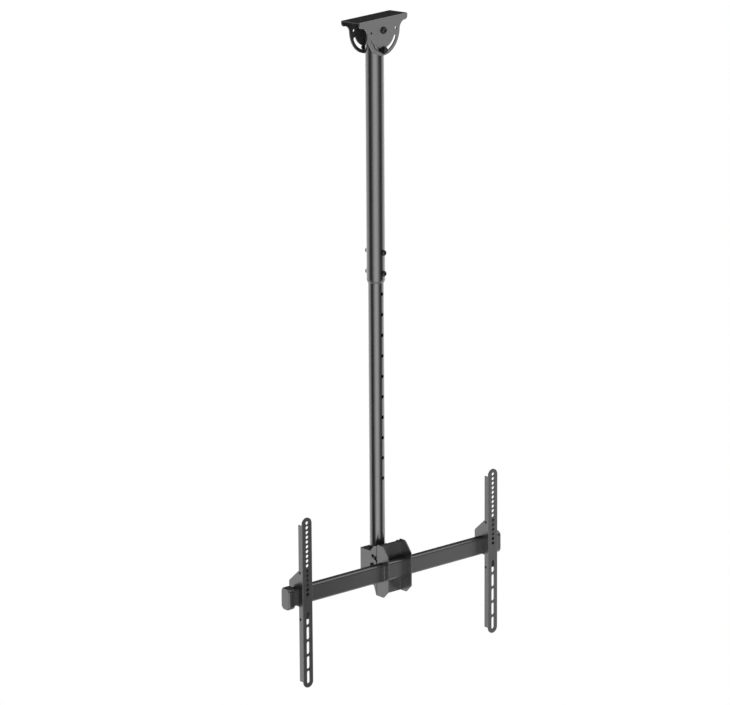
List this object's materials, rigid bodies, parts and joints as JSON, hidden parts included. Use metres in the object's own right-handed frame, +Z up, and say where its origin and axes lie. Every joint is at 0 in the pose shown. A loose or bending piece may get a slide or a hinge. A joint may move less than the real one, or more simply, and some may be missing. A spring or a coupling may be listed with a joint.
{
  "type": "tv ceiling mount",
  "caption": "Ceiling mount for a flat screen: hinged ceiling bracket, telescopic pole, swivel and tilt head, and a cross rail with sliding slotted arms.",
  "frame": {"origin": "centre of the ceiling plate's top face, on the pole's axis", "axes": "+Z up out of the ceiling plate, X along the rail with +X to the right seen from the screen side, -Y towards the screen"},
  "size_m": [0.686, 0.1323, 1.574],
  "materials": {
    "black_coat": "satin black powder coat",
    "black_steel": "black oxide",
    "black_plastic": "moulded, satin"
  },
  "bodies": {
    "ceiling": {"ceiling_bracket": "black_coat", "pivot_bolt": "black_steel", "pivot_nut": "black_steel"},
    "outer_pole": {"outer_pole": "black_coat", "pivot_spacers": "black_coat", "lock_bolt": "black_steel", "lock_washers": "black_steel", "lock_nut": "black_steel", "guide_sleeve": "black_plastic", "height_bolts": "black_steel"},
    "inner_pole": {"inner_pole": "black_coat", "pole_glide": "black_plastic", "pole_foot": "black_coat", "swivel_disc": "black_plastic", "swivel_bolt": "black_steel", "swivel_washer": "black_steel"},
    "yoke": {"swivel_yoke": "black_coat", "tilt_bolt": "black_steel", "tilt_nut": "black_steel", "guide_pin": "black_steel"},
    "tilt_head": {"tilt_bracket": "black_coat", "rail_bracket": "black_coat", "rail": "black_coat", "left_end_cap": "black_plastic", "right_end_cap": "black_plastic"},
    "left_arm": {"left_arm": "black_coat", "left_clamp_screw": "black_steel"},
    "right_arm": {"right_arm": "black_coat", "right_clamp_screw": "black_steel"}
  },
  "joints": [
    {"name": "ceiling_hinge", "type": "hinge", "parent": "ceiling", "child": "outer_pole", "pos_m": [0, 0, -0.03], "axis": [-0.165, 0.9863, 0], "range_deg": [-60, 60]},
    {"name": "height_slide", "type": "slide", "parent": "outer_pole", "child": "inner_pole", "axis": [0, 0, 1], "range_m": [0, 0.459]},
    {"name": "head_swivel", "type": "hinge", "parent": "inner_pole", "child": "yoke", "pos_m": [0, 0, -1.3915], "axis": [0, 0, 1], "range_deg": [-50.5, 69.5]},
    {"name": "head_tilt", "type": "hinge", "parent": "yoke", "child": "tilt_head", "pos_m": [0, -0.023, -1.339], "axis": [1, 0, 0], "range_deg": [0, 12]},
    {"name": "left_arm_slide", "type": "slide", "parent": "tilt_head", "child": "left_arm", "axis": [1, 0, 0], "range_m": [-0.01, 0.2]},
    {"name": "right_arm_slide", "type": "slide", "parent": "tilt_head", "child": "right_arm", "axis": [-1, 0, 0], "range_m": [-0.01, 0.2]}
  ]
}
